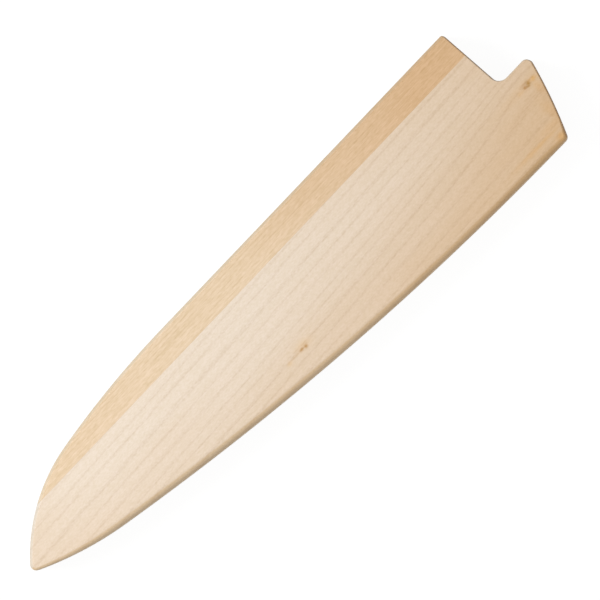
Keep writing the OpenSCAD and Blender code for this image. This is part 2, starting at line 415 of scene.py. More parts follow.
def seats():
    """Counterbored seats of all magnets and caps, as one cutting solid."""
    bm = bmesh.new()
    for half, sign in (("back", -1), ("front", 1)):
        for number in MAGNET_NUMBERS:
            low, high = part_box(f"{half}_magnet_{number}")
            cap_low, cap_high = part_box(f"{half}_magnet_cap_{number}")
            centre = (low + high) / 2
            floor_z, step_z = (cap_low.z, cap_high.z) if sign > 0 else (cap_high.z, cap_low.z)
            end_z = high.z if sign > 0 else low.z
            cap_r = (cap_high.x - cap_low.x) / 2 + SEAT_GAP
            magnet_r = (high.x - low.x) / 2 + SEAT_GAP
            inside_z = floor_z - sign * SEAT_OVERLAP
            profile = [(0, inside_z), (cap_r, inside_z), (cap_r, step_z), (magnet_r, step_z),
                       (magnet_r, end_z), (0, end_z)]
            verts = [bm.verts.new((centre.x + r, centre.y, z)) for r, z in profile]
            edges = [bm.edges.new(pair) for pair in zip(verts, verts[1:])]
            bmesh.ops.spin(bm, geom=verts + edges, cent=centre, axis=(0, 0, 1),
                           angle=math.tau, steps=SEAT_STEPS, use_merge=True)
    bmesh.ops.remove_doubles(bm, verts=bm.verts, dist=SAME_POINT)
    return new_object("seats", bm)


def finish_piece(piece, nodes, material):
    """Gives a piece its one material, shades it smoothly and puts it in the place of its nodes."""
    mesh = piece.data
    mesh.materials.clear()
    mesh.materials.append(material)
    for face in mesh.polygons:
        face.material_index = 0
        face.use_smooth = True
    mesh.set_sharp_from_angle(angle=math.radians(SHARP_FROM))
    modifier = piece.modifiers.new("weighted", "WEIGHTED_NORMAL")
    modifier.keep_sharp = True
    apply_modifiers(piece)
    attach(piece, "root")
    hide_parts(*nodes)


def finish_wood(piece, node, material):
    """Closes the seams and clears the specks that cutting leaves, then finishes the piece."""
    bm = bmesh.new()
    bm.from_mesh(piece.data)
    bmesh.ops.remove_doubles(bm, verts=bm.verts, dist=SPECK)
    bmesh.ops.holes_fill(bm, edges=[edge for edge in bm.edges if edge.is_boundary], sides=4)
    bmesh.ops.dissolve_degenerate(bm, dist=SPECK, edges=bm.edges)
    bm.to_mesh(piece.data)
    bm.free()
    finish_piece(piece, [node], material)


def wooden_halves(materials):
    """Cuts the guard at its glue planes into the two boards and the two strips."""
    guard = whole_guard()
    seat_cutter = seats()
    for half, low_z, high_z in (("back", BACK_Z - REACH, GLUE_Z), ("front", GLUE_Z, FRONT_Z + REACH)):
        strip = part_of(guard, f"{half}_strip", (TIP_X - REACH, JOINT_Y, low_z),
                        (NOSE_X + REACH, SPINE_Y + REACH, high_z))
        board = part_of(guard, f"{half}_board", (TIP_X - REACH, EDGE_Y - REACH, low_z),
                        (NOSE_X + REACH, JOINT_Y, high_z))
        cut(board, seat_cutter, "DIFFERENCE", keep_tool=True)
        finish_wood(strip, f"{half}_spine_strip", materials[f"{half}_strip"])
        finish_wood(board, f"{half}_blade_board", materials[f"{half}_board"])
    bpy.data.objects.remove(guard)
    bpy.data.objects.remove(seat_cutter)


def put(tree, socket, value):
    """Links a socket to another one, or sets it to a plain value."""
    if isinstance(value, bpy.types.NodeSocket):
        tree.links.new(value, socket)
    else:
        socket.default_value = value


def add_node(tree, kind, values=None, **settings):
    """Node of one kind, with its settings made and its inputs set or linked by name."""
    node = tree.nodes.new(kind)
    for name, value in settings.items():
        setattr(node, name, value)
    for name, value in (values or {}).items():
        put(tree, node.inputs[name], value)
    return node


def calc(tree, operation, *values):
    """Result of a Math node on numbers or sockets."""
    node = add_node(tree, "ShaderNodeMath", operation=operation)
    for socket, value in zip(node.inputs, values):
        put(tree, socket, value)
    return node.outputs[0]


def split(tree, vector):
    """The X, Y and Z of a vector, as sockets by name."""
    return add_node(tree, "ShaderNodeSeparateXYZ", {"Vector": vector}).outputs


def blend_colours(tree, share, first, second, mode="MIX"):
    """Result of a Mix node on two colours."""
    node = add_node(tree, "ShaderNodeMix", data_type="RGBA", blend_type=mode)
    for name, value in (("Factor_Float", share), ("A_Color", first), ("B_Color", second)):
        socket = next(i for i in node.inputs if i.identifier == name)
        put(tree, socket, value)
    return next(o for o in node.outputs if o.identifier == "Result_Color")


def map_range(tree, value, low, high, new_low=0.0, new_high=1.0, smooth=False):
    """A value moved from one range to another and held inside it."""
    kind = "SMOOTHSTEP" if smooth else "LINEAR"
    node = add_node(tree, "ShaderNodeMapRange", interpolation_type=kind)
    for name, number in (("Value", value), ("From Min", low), ("From Max", high),
                         ("To Min", new_low), ("To Max", new_high)):
        put(tree, node.inputs[name], number)
    return node.outputs["Result"]


def hump(tree, offset, half_width):
    """Bell curve of a distance: 1 where it is zero, about a third at the half width."""
    share = calc(tree, "DIVIDE", offset, half_width)
    return calc(tree, "EXPONENT", calc(tree, "MULTIPLY", calc(tree, "MULTIPLY", share, share), -1))


def spot(tree, along, across, half_length, half_width):
    """Bell-shaped spot: 1 in its middle, with its length along the grain."""
    return calc(tree, "MULTIPLY", hump(tree, along, half_length), hump(tree, across, half_width))


def spots(tree, along, across, places):
    """Strongest of some soft spots: each one's middle and half size in millimetres, and share."""
    strongest = 0.0
    for middle_along, middle_across, half_length, half_width, share in places:
        one = spot(tree, calc(tree, "SUBTRACT", along, middle_along * MM),
                   calc(tree, "SUBTRACT", across, middle_across * MM),
                   half_length * MM, half_width * MM)
        strongest = calc(tree, "MAXIMUM", calc(tree, "MULTIPLY", one, share), strongest)
    return strongest


def length_of(tree, a, b):
    """Length of the diagonal of two sides."""
    return calc(tree, "SQRT", calc(tree, "ADD", calc(tree, "MULTIPLY", a, a),
                                   calc(tree, "MULTIPLY", b, b)))


def stretched(tree, place, length, width, seed):
    """Noise drawn out along the grain, from 0 to 1."""
    size = add_node(tree, "ShaderNodeCombineXYZ", {"X": length, "Y": width, "Z": width})
    shrunk = add_node(tree, "ShaderNodeVectorMath", operation="DIVIDE")
    put(tree, shrunk.inputs[0], place)
    put(tree, shrunk.inputs[1], size.outputs[0])
    noise = add_node(tree, "ShaderNodeTexNoise",
                     {"Vector": shrunk.outputs[0], "W": seed, "Scale": 1.0, "Detail": 3.0},
                     noise_dimensions="4D")
    return noise.outputs["Fac"]


def shifted(tree, value, noise, reach):
    """A value that a noise moves to and fro over a reach."""
    return calc(tree, "ADD", value, calc(tree, "MULTIPLY_ADD", noise, reach, -reach / 2))


def new_group(name, inputs, outputs):
    """Shader node group. Returns its tree, its input sockets by name and a call to set outputs."""
    tree = bpy.data.node_groups.new(name, "ShaderNodeTree")
    for label, (kind, default) in inputs.items():
        socket = tree.interface.new_socket(label, in_out="INPUT", socket_type=kind)
        socket.default_value = default
    for label, kind in outputs.items():
        tree.interface.new_socket(label, in_out="OUTPUT", socket_type=kind)
    start = tree.nodes.new("NodeGroupInput")
    end = tree.nodes.new("NodeGroupOutput")

    def give(**values):
        """Links the group's outputs, whose names have underscores here for spaces."""
        for label, value in values.items():
            tree.links.new(value, end.inputs[label.replace("_", " ")])

    return tree, {socket.name: socket for socket in start.outputs if socket.name}, give


def place_group(tree, group, values):
    """Puts a group in a material's tree with its own values and returns its outputs."""
    node = tree.nodes.new("ShaderNodeGroup")
    node.node_tree = group
    for name, value in values.items():
        put(tree, node.inputs[name], value)
    return node.outputs


NUMBER = "NodeSocketFloat"
VECTOR = "NodeSocketVector"

# Reach along and across the grain of the two rises that growth rings make over the knot
LONG_RISE = (60 * MM, 9 * MM)
SHORT_RISE = (14 * MM, 7 * MM)

# Spots of the knot and the fleck, in millimetres from the middle of each: place along and across
# the grain, half length, half width and share. The knot's lists also hold darker patches along
# the nose's end and the yellow streaks near the heel.
KNOT_CORE = [(1.0, -0.2, 0.8, 0.8, 1.0), (0.4, -0.8, 0.7, 0.5, 0.8)]
KNOT_BARK = [(-0.9, -0.5, 0.9, 0.7, 1.0), (-0.6, 0.6, 1.2, 0.4, 0.45),
             (2.8, -8.5, 1.9, 3.6, 0.16), (0.5, -15.0, 1.9, 3.6, 0.16)]
KNOT_STAIN = [(3.2, -0.2, 1.4, 0.9, 1.0), (1.9, 0.2, 0.9, 0.7, 0.7),
              (-3.3, -0.8, 1.6, 0.8, 0.4), (2.6, -3.2, 1.3, 2.6, 0.4),
              (-12.0, -16.9, 10.0, 0.8, 0.5), (-3.0, -15.4, 7.0, 1.6, 0.3),
              (0.0, 0.0, 11.0, 1.6, 0.2), (-0.3, -11.8, 1.8, 4.5, 0.3),
              (-4.1, -19.9, 1.8, 1.3, 0.7)]
FLECK_BEADS = [(-0.85, 0.1, 1.1, 0.42, 1.0), (0.85, -0.1, 0.75, 0.6, 1.0),
               (-4.0, 0.0, 2.4, 0.35, 0.35)]
FLECK_HALO = [(0.5, 0.9, 3.2, 1.4, 1.0), (-6.9, -0.3, 1.1, 0.8, 1.0)]

# Noise that makes their outlines ragged: its size along and across the grain, and its reach
KNOT_RAGGED = (1.4 * MM, 0.9 * MM)
KNOT_RAGGED_ALONG = 1.6 * MM
KNOT_RAGGED_ACROSS = 1.2 * MM
FLECK_RAGGED = (2 * MM, 1.2 * MM)
FLECK_RAGGED_ACROSS = 0.8 * MM

# Growth rings waver, and each ring's line has a strength of its own. A line fades in over this
# many times its width.
RING_WAVER = (45 * MM, 9 * MM)
RING_WAVER_REACH = 1.6 * MM
LINE_FADE_IN = 1.6
LINE_LEAST = 0.6
LINE_SPREAD = 0.7

# Stretch before the tip over which the colour gets darker and warmer
TIP_WARMTH_REACH = 45 * MM

# Size of the broad blotches, the levels between which noises are used, and what is added to a
# piece's seed for its streaks, its marks and its blotches
BLOTCH_SIZE = (60 * MM, 12 * MM)
FIBRE_LEVELS = (0.32, 0.68)
BLOTCH_LEVELS = (0.3, 0.7)
FIBRE_SEEDS = (0.31, 5.7, 9.2)

# Parts of a face's normal at which a mask begins and is full: upward for the rims and for the
# walls that the spine's rim fades into, along X for the mouth, and along Y for the edge side
RIM_LIMITS = (0.995, 0.93)
WALL_LIMITS = (0.0, 0.3)
MOUTH_LIMITS = (0.4, 0.9)
EDGE_SIDE_LIMITS = (0.1, -0.1)


def from_middle(tree, given):
    """Distances along and across the grain from the middle that a group is given."""
    xyz = split(tree, given["Place"])
    return (calc(tree, "SUBTRACT", xyz["X"], given["Along"]),
            calc(tree, "SUBTRACT", xyz["Y"], given["Across"]))


def pin_knot_group():
    """A small knot that the growth rings rise over: its core, its bark and the stain beside it."""
    tree, given, give = new_group(
        "pin_knot",
        {"Place": (VECTOR, (0, 0, 0)), "Along": (NUMBER, 0), "Across": (NUMBER, 0),
         "Long Rise": (NUMBER, 0), "Short Rise": (NUMBER, 0)},
        {"Lift": NUMBER, "Core": NUMBER, "Bark": NUMBER, "Stain": NUMBER})
    along, across = from_middle(tree, given)
    lift = calc(tree, "MULTIPLY", spot(tree, along, across, *LONG_RISE), given["Long Rise"])
    lift = calc(tree, "MULTIPLY_ADD", spot(tree, along, across, *SHORT_RISE),
                given["Short Rise"], lift)

    # Everything round the knot has a ragged outline
    ragged = stretched(tree, given["Place"], *KNOT_RAGGED, seed=3.0)
    along = shifted(tree, along, ragged, KNOT_RAGGED_ALONG)
    ragged = stretched(tree, given["Place"], *KNOT_RAGGED, seed=4.0)
    across = shifted(tree, across, ragged, KNOT_RAGGED_ACROSS)
    give(Lift=lift, Core=spots(tree, along, across, KNOT_CORE),
         Bark=spots(tree, along, across, KNOT_BARK), Stain=spots(tree, along, across, KNOT_STAIN))
    return tree


def fleck_group():
    """A mineral fleck of two beads that lies along the grain, with a tail and a warm halo."""
    tree, given, give = new_group(
        "mineral_fleck",
        {"Place": (VECTOR, (0, 0, 0)), "Along": (NUMBER, 0), "Across": (NUMBER, 0)},
        {"Fleck": NUMBER, "Halo": NUMBER})
    along, across = from_middle(tree, given)
    ragged = stretched(tree, given["Place"], *FLECK_RAGGED, seed=5.0)
    across = shifted(tree, across, ragged, FLECK_RAGGED_ACROSS)
    give(Fleck=spots(tree, along, across, FLECK_BEADS), Halo=spots(tree, along, across, FLECK_HALO))
    return tree


def growth_ring_group():
    """Growth rings round a pith that lies outside the board, with a thin line at each ring's end."""
    tree, given, give = new_group(
        "growth_rings",
        {"Place": (VECTOR, (0, 0, 0)), "Pith Across": (NUMBER, 75 * MM),
         "Pith Height": (NUMBER, -45 * MM), "Rise": (NUMBER, 0.037),
         "Ring Width": (NUMBER, 2.85 * MM), "Line Width": (NUMBER, 0.3 * MM),
         "First": (NUMBER, 0), "Unevenness": (NUMBER, 0.1), "Slow Spell": (NUMBER, 6.0),
         "Slow Phase": (NUMBER, 0), "Quick Spell": (NUMBER, 2.6), "Quick Phase": (NUMBER, 0),
         "Lift": (NUMBER, 0), "Seed": (NUMBER, 0)},
        {"Line": NUMBER, "Ring Tone": NUMBER})
    xyz = split(tree, given["Place"])
    waver = stretched(tree, given["Place"], *RING_WAVER, seed=given["Seed"])
    home = calc(tree, "SUBTRACT", xyz["Y"], given["Lift"])
    home = shifted(tree, home, waver, RING_WAVER_REACH)
    home = calc(tree, "SUBTRACT", home, calc(tree, "MULTIPLY", xyz["X"], given["Rise"]))
    across = calc(tree, "SUBTRACT", home, given["Pith Across"])
    height = calc(tree, "SUBTRACT", xyz["Z"], given["Pith Height"])
    count = calc(tree, "DIVIDE", length_of(tree, across, height), given["Ring Width"])
    spells = 0.0
    for kind in ("Slow", "Quick"):
        turn = calc(tree, "DIVIDE", count, given[f"{kind} Spell"])
        turn = calc(tree, "MULTIPLY_ADD", turn, math.tau, given[f"{kind} Phase"])
        spells = calc(tree, "ADD", calc(tree, "SINE", turn), spells)
    count = calc(tree, "ADD", count, given["First"])
    count = calc(tree, "MULTIPLY_ADD", spells, given["Unevenness"], count)
    share = calc(tree, "FRACT", count)
    line_share = calc(tree, "DIVIDE", given["Line Width"], given["Ring Width"])
    fade_in = calc(tree, "SUBTRACT", 1.0, calc(tree, "MULTIPLY", line_share, LINE_FADE_IN))
    before = map_range(tree, share, fade_in, 1.0, smooth=True)
    after = map_range(tree, share, line_share, 0.0, smooth=True)
    ring = add_node(tree, "ShaderNodeTexWhiteNoise", {"W": calc(tree, "FLOOR", count)},
                    noise_dimensions="1D")
    strength = calc(tree, "MULTIPLY_ADD", ring.outputs["Value"], LINE_SPREAD, LINE_LEAST)
    line = calc(tree, "MULTIPLY", calc(tree, "MAXIMUM", before, after), strength)
    give(Line=line, Ring_Tone=ring.outputs["Value"])
    return tree


def drift_and_painted_falloff_group():
    """How much darker and warmer the colour gets towards the mouth, the tip and the edge side:
    towards the mouth and the edge side partly the timber's own drift and partly painted shade of the
    lamp's light falling off.
    """
    tree, given, give = new_group(
        "drift_and_painted_falloff",
        {"Place": (VECTOR, (0, 0, 0)), "Start Along": (NUMBER, 0), "Over": (NUMBER, 1),
         "Power": (NUMBER, 1), "Along": (NUMBER, 1), "Start Across": (NUMBER, 0),
         "Across": (NUMBER, 0), "Tip": (NUMBER, 0)},
        {"Warmth": NUMBER})
    xyz = split(tree, given["Place"])
    along = calc(tree, "SUBTRACT", xyz["X"], given["Start Along"])
    along = calc(tree, "MAXIMUM", calc(tree, "DIVIDE", along, given["Over"]), 0.0)
    along = calc(tree, "POWER", along, given["Power"])
    across = calc(tree, "SUBTRACT", given["Start Across"], xyz["Y"])
    warmth = calc(tree, "MULTIPLY", across, given["Across"])
    tip = map_range(tree, xyz["X"], TIP_X + TIP_WARMTH_REACH, TIP_X, smooth=True)
    warmth = calc(tree, "MULTIPLY_ADD", tip, given["Tip"], warmth)
    give(Warmth=calc(tree, "MULTIPLY_ADD", along, given["Along"], warmth))
    return tree


def fibre_group():
    """Long streaks, short pore marks and broad blotches, each from 0 to 1."""
    tree, given, give = new_group(
        "fibres",
        {"Place": (VECTOR, (0, 0, 0)), "Streak Length": (NUMBER, 30 * MM),
         "Streak Width": (NUMBER, 0.5 * MM), "Mark Length": (NUMBER, 1.5 * MM),
         "Mark Width": (NUMBER, 0.4 * MM), "Seed": (NUMBER, 0)},
        {"Streaks": NUMBER, "Marks": NUMBER, "Blotches": NUMBER})
    place = given["Place"]
    seeds = [calc(tree, "ADD", given["Seed"], step) for step in FIBRE_SEEDS]
    streaks = stretched(tree, place, given["Streak Length"], given["Streak Width"], seeds[0])
    marks = stretched(tree, place, given["Mark Length"], given["Mark Width"], seeds[1])
    blotches = stretched(tree, place, *BLOTCH_SIZE, seeds[2])
    give(Streaks=map_range(tree, streaks, *FIBRE_LEVELS), Marks=map_range(tree, marks, *FIBRE_LEVELS),
         Blotches=map_range(tree, blotches, *BLOTCH_LEVELS))
    return tree


def cut_face_group():
    """Where the mouth shows the fibres' ends, where glue lines run, and the rounded rims: those that
    face the edge side, away from the lamp, for painted shade, and those that face the lamp, for
    painted shade that dims their highlight.
    """
    tree, given, give = new_group(
        "cut_faces",
        {"Place": (VECTOR, (0, 0, 0)), "Joint": (NUMBER, JOINT_Y), "Middle": (NUMBER, GLUE_Z),
         "Glue Width": (NUMBER, 0.07 * MM)},
        {"End": NUMBER, "Edge Rim": NUMBER, "Spine Rim": NUMBER, "Glue": NUMBER})
    coordinates = add_node(tree, "ShaderNodeTexCoord")
    facing = split(tree, coordinates.outputs["Normal"])
    upward = calc(tree, "ABSOLUTE", facing["Z"])
    rim = map_range(tree, upward, *RIM_LIMITS, smooth=True)
    band = calc(tree, "MULTIPLY", rim, map_range(tree, upward, *WALL_LIMITS, smooth=True))
    # The edge side faces away from the lamp and the spine side towards it: the rims are split by the
    # light, for painted shade
    edge_side = map_range(tree, facing["Y"], *EDGE_SIDE_LIMITS)
    spine_side = calc(tree, "SUBTRACT", 1.0, edge_side)
    xyz = split(tree, given["Place"])
    beside = calc(tree, "ABSOLUTE", calc(tree, "SUBTRACT", xyz["Y"], given["Joint"]))
    above = calc(tree, "ABSOLUTE", calc(tree, "SUBTRACT", xyz["Z"], given["Middle"]))
    nearest = calc(tree, "MINIMUM", beside, above)
    # End marks the mouth's end grain, whose tint is partly painted shade; the two rim masks carry
    # painted shade
    give(End=map_range(tree, facing["X"], *MOUTH_LIMITS, smooth=True),
         Edge_Rim=calc(tree, "MULTIPLY", rim, edge_side),
         Spine_Rim=calc(tree, "MULTIPLY", band, spine_side),
         Glue=map_range(tree, nearest, given["Glue Width"], 0.0, smooth=True))
    return tree


def disc_row_nodes():
    """Geometry nodes that lay equal round discs with rounded rims in a row along X."""
    tree = bpy.data.node_groups.new("disc_row", "GeometryNodeTree")
    for label, kind in (("Count", "NodeSocketInt"), ("First", VECTOR), ("Pitch", NUMBER),
                        ("Radius", NUMBER), ("Thickness", NUMBER), ("Rim Round", NUMBER),
                        ("Material", "NodeSocketMaterial")):
        tree.interface.new_socket(label, in_out="INPUT", socket_type=kind)
    tree.interface.new_socket("Discs", in_out="OUTPUT", socket_type="NodeSocketGeometry")
    given = tree.nodes.new("NodeGroupInput").outputs

    # A plain cylinder with rings of points down its side, which then close round its rims
    disc = add_node(tree, "GeometryNodeMeshCylinder",
                    {"Vertices": DISC_SIDES, "Side Segments": 2 * RIM_STEPS + 1,
                     "Radius": given["Radius"], "Depth": given["Thickness"]})
    place = split(tree, tree.nodes.new("GeometryNodeInputPosition").outputs[0])
    height = calc(tree, "DIVIDE", place["Z"], given["Thickness"])
    ring = calc(tree, "MULTIPLY_ADD", calc(tree, "ABSOLUTE", height), 2 * RIM_STEPS + 1, -0.5)
    angle = calc(tree, "MULTIPLY", ring, math.pi / 2 / RIM_STEPS)
    inward = calc(tree, "MULTIPLY", calc(tree, "SUBTRACT", 1.0, calc(tree, "COSINE", angle)),
                  given["Rim Round"])
    scale = calc(tree, "SUBTRACT", 1.0, calc(tree, "DIVIDE", inward, given["Radius"]))
    below = calc(tree, "MULTIPLY", calc(tree, "SUBTRACT", 1.0, calc(tree, "SINE", angle)),
                 given["Rim Round"])
    half = calc(tree, "SUBTRACT", calc(tree, "MULTIPLY", given["Thickness"], 0.5), below)
    moved = add_node(tree, "ShaderNodeCombineXYZ",
                     {"X": calc(tree, "MULTIPLY", place["X"], scale),
                      "Y": calc(tree, "MULTIPLY", place["Y"], scale),
                      "Z": calc(tree, "MULTIPLY", calc(tree, "SIGN", height), half)})
    rounded = add_node(tree, "GeometryNodeSetPosition",
                       {"Geometry": disc.outputs["Mesh"], "Position": moved.outputs[0]})

    step = add_node(tree, "ShaderNodeCombineXYZ", {"X": given["Pitch"]})
    row = add_node(tree, "GeometryNodeMeshLine",
                   {"Count": given["Count"], "Start Location": given["First"],
                    "Offset": step.outputs[0]})
    discs = add_node(tree, "GeometryNodeInstanceOnPoints",
                     {"Points": row.outputs[0], "Instance": rounded.outputs[0]})
    real = add_node(tree, "GeometryNodeRealizeInstances", {"Geometry": discs.outputs[0]})
    painted = add_node(tree, "GeometryNodeSetMaterial",
                       {"Geometry": real.outputs[0], "Material": given["Material"]})
    end = tree.nodes.new("NodeGroupOutput")
    tree.links.new(painted.outputs[0], end.inputs["Discs"])
    return tree


def disc_row(nodes, name, cad_nodes, rim_round, material):
    """A row of discs in the places of the given nodes, as one piece."""
    boxes = [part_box(node) for node in cad_nodes]
    centres = [(low + high) / 2 for low, high in boxes]
    low, high = boxes[0]
    row = in_scene(name, bpy.data.meshes.new(name))
    modifier = row.modifiers.new("row", "NODES")
    modifier.node_group = nodes
    values = {"Count": len(cad_nodes), "First": centres[0],
              "Pitch": (centres[-1].x - centres[0].x) / (len(cad_nodes) - 1),
              "Radius": (high.x - low.x) / 2, "Thickness": high.z - low.z,
              "Rim Round": rim_round, "Material": material}
    for item in nodes.interface.items_tree:
        if item.in_out == "INPUT":
            modifier[item.identifier] = values[item.name]
    apply_modifiers(row)
    finish_piece(row, cad_nodes, material)


def magnets_and_caps(materials):
    """Two rows of magnets, each under a row of thin wooden caps."""
    nodes = disc_row_nodes()
    for half in ("back", "front"):
        magnets = [f"{half}_magnet_{number}" for number in MAGNET_NUMBERS]
        caps = [f"{half}_magnet_cap_{number}" for number in MAGNET_NUMBERS]
        disc_row(nodes, f"{half}_magnets", magnets, MAGNET_ROUND, materials["magnet"])
        disc_row(nodes, f"{half}_caps", caps, CAP_ROUND, materials["cap"])


def linear(red, green, blue):
    """Colour for a shader from the three numbers, 0 to 255, that a screen shows."""
    def one(value):
        share = value / 255
        return share / 12.92 if share <= 0.04045 else ((share + 0.055) / 1.055) ** 2.4
    return (one(red), one(green), one(blue), 1)


# Tints that stain the wood where a mask says so. The mouth's end-grain tint is partly painted shade,
# and the rims' tints are painted shade: warm and dark on the edge side, which faces away from the
# lamp, and grey on the rims that face the lamp, where it dims their highlight.
GRAIN_TINT = (0.87, 0.85, 0.76, 1)
LINE_TINT = (0.80, 0.74, 0.68, 1)
STAIN_TINT = (1.0, 0.80, 0.45, 1)
FLECK_TINT = (0.66, 0.48, 0.26, 1)
KNOT_TINT = (0.64, 0.50, 0.23, 1)
# The mouth's end grain is darker, and this tint adds painted shade to those walls, which face away
# from the lamp
END_GRAIN_AND_PAINTED_SHADE_TINT = (0.60, 0.53, 0.48, 1)
EDGE_RIM_PAINTED_SHADE = (0.97, 0.90, 0.76, 1)
SPINE_RIM_PAINTED_SHADE = (0.82, 0.87, 0.92, 1)
GLUE_TINT = (0.72, 0.60, 0.48, 1)

# Masks with the strength and the tint of the stain or painted shade that each lays on, in the order
# of laying
RING_STAINS = {"Ring Tone": (0.15, GRAIN_TINT)}
FLECK_STAINS = {"Halo": (0.35, STAIN_TINT), "Fleck": (1.0, FLECK_TINT)}
KNOT_STAINS = {"Stain": (0.9, STAIN_TINT), "Bark": (0.9, FLECK_TINT), "Core": (1.0, KNOT_TINT)}
CUT_STAINS_AND_PAINTED_SHADES = {"End": (0.8, END_GRAIN_AND_PAINTED_SHADE_TINT), "Edge Rim": (1.0, EDGE_RIM_PAINTED_SHADE),
              "Spine Rim": (1.0, SPINE_RIM_PAINTED_SHADE), "Glue": (0.5, GLUE_TINT)}

# How far blotches move the timber between its pale and its warm colour
BLOTCH_WARMTH = 0.2

# Growth lines are broken up by pore marks and streaks: what each adds where it is strongest, and
# what is left of a line where there is none
LINE_BY_MARKS = (0.6, 0.5)
LINE_BY_STREAKS = (0.6, 0.4)

# Surface of sanded maple
WOOD_ROUGH = 0.5
MARK_ROUGH = 0.08
END_ROUGH = 0.1
WOOD_SPECULAR = 0.3
MARK_DEPTH = 0.7
LINE_DEPTH = 0.3
WOOD_BUMP = (0.3, 0.03 * MM)

# Timber of the boards and of the strips: its colours, the strength of its streaks, pore marks and
# growth lines, how it gets darker and warmer along the guard (partly its own drift, partly painted
# shade of light falling off), and the size of its fibres
BOARD = {"pale": linear(243, 227, 211), "warm": linear(225, 192, 155),
         "streaks": 0.2, "marks": 0.6, "lines": 0.5,
         "drift": {"Start Along": -36 * MM, "Over": 140 * MM, "Power": 1.5, "Along": 0.6,
                   "Start Across": 9.5 * MM, "Across": 12.5, "Tip": 0.2},
         "fibres": {"Streak Length": 30 * MM, "Streak Width": 0.5 * MM, "Mark Length": 0.9 * MM,
                    "Mark Width": 0.45 * MM}}
STRIP = {"pale": linear(243, 218, 190), "warm": linear(229, 191, 151),
         "streaks": 0.5, "marks": 0.95, "lines": 0.4,
         "drift": {"Start Along": -11 * MM, "Over": 95 * MM, "Power": 1.2, "Along": 1.0},
         "fibres": {"Streak Length": 25 * MM, "Streak Width": 0.6 * MM, "Mark Length": 1.8 * MM,
                    "Mark Width": 0.4 * MM}}

# Nickel plating
NICKEL_BRIGHT = linear(214, 212, 206)
NICKEL_DULL = linear(190, 187, 180)
NICKEL_ROUGH = 0.2
DULL_ROUGH = 0.12
SCRATCH_ROUGH = 0.1
SCRATCH_SIZE = (3 * MM, 0.05 * MM)
SCRATCH_LEVELS = (0.55, 0.7)
PATCH_SIZE = (3 * MM, 3 * MM)
PATCH_LEVELS = (0.4, 0.7)
NICKEL_BUMP = (0.2, 0.01 * MM)


def new_material(name):
    """Material, with its node tree and its shader."""
    material = bpy.data.materials.new(name)
    material.use_nodes = True
    return material, material.node_tree, material.node_tree.nodes["Principled BSDF"]


def raise_surface(tree, shader, height, strength, distance):
    """Bumps a material's surface by a height map."""
    bump = add_node(tree, "ShaderNodeBump",
                    {"Height": height, "Strength": strength, "Distance": distance})
    put(tree, shader.inputs["Normal"], bump.outputs["Normal"])


def stain_and_shade_layers_of(masks, stain_and_shade_layers):
    """Mask, strength and tint of each stain or painted shade that a group's masks lay on."""
    return [(masks[name], strength, tint) for name, (strength, tint) in stain_and_shade_layers.items()]


def maple(name, groups, seed, timber, rings, knot=None, fleck=None):
    """Bare sanded maple of one piece of timber, with painted shade on its rims and on the mouth's end
    grain, and partly painted shade towards the mouth and the edge side.
    """
    material, tree, shader = new_material(name)
    place = add_node(tree, "ShaderNodeTexCoord").outputs["Object"]
    grain = place_group(tree, groups["fibres"], {"Place": place, "Seed": seed, **timber["fibres"]})
    cuts = place_group(tree, groups["cuts"], {"Place": place})

    ring_values = {"Place": place, "Seed": seed, **rings}
    if knot:
        knot = place_group(tree, groups["knot"], {"Place": place, **knot})
        ring_values["Lift"] = knot["Lift"]
    growth = place_group(tree, groups["rings"], ring_values)

    # Darker and warmer towards the mouth, the tip and the edge side: partly the timber's drift,
    # partly painted shade of light falling off
    drift = place_group(tree, groups["drift"], {"Place": place, **timber["drift"]})
    warmth = shifted(tree, drift["Warmth"], grain["Blotches"], BLOTCH_WARMTH)
    warmth = map_range(tree, warmth, 0.0, 1.0)
    colour = blend_colours(tree, warmth, timber["pale"], timber["warm"])

    line = calc(tree, "MULTIPLY", growth["Line"],
                calc(tree, "MULTIPLY_ADD", grain["Marks"], *LINE_BY_MARKS))
    line = calc(tree, "MULTIPLY", line,
                calc(tree, "MULTIPLY_ADD", grain["Streaks"], *LINE_BY_STREAKS))

    stain_and_shade_layers = [(grain["Streaks"], timber["streaks"], GRAIN_TINT),
              (grain["Marks"], timber["marks"], GRAIN_TINT)]
    stain_and_shade_layers += stain_and_shade_layers_of(growth, RING_STAINS)
    stain_and_shade_layers.append((line, timber["lines"], LINE_TINT))
    if fleck:
        fleck = place_group(tree, groups["fleck"], {"Place": place, **fleck})
        stain_and_shade_layers += stain_and_shade_layers_of(fleck, FLECK_STAINS)
    if knot:
        stain_and_shade_layers += stain_and_shade_layers_of(knot, KNOT_STAINS)
    # The cut faces lay painted shade on the mouth's end grain and on the rims, and the glue lines'
    # real stain
    stain_and_shade_layers += stain_and_shade_layers_of(cuts, CUT_STAINS_AND_PAINTED_SHADES)
    for mask, strength, tint in stain_and_shade_layers:
        share = calc(tree, "MULTIPLY", mask, strength)
        colour = blend_colours(tree, share, colour, tint, "MULTIPLY")
    put(tree, shader.inputs["Base Color"], colour)

    rough = calc(tree, "MULTIPLY_ADD", grain["Marks"], MARK_ROUGH, WOOD_ROUGH)
    rough = calc(tree, "MULTIPLY_ADD", cuts["End"], END_ROUGH, rough)
    put(tree, shader.inputs["Roughness"], rough)
    height = calc(tree, "MULTIPLY_ADD", grain["Marks"], -MARK_DEPTH,
                  calc(tree, "MULTIPLY", line, -LINE_DEPTH))
    raise_surface(tree, shader, height, *WOOD_BUMP)
    shader.inputs["Specular IOR Level"].default_value = WOOD_SPECULAR
    return material


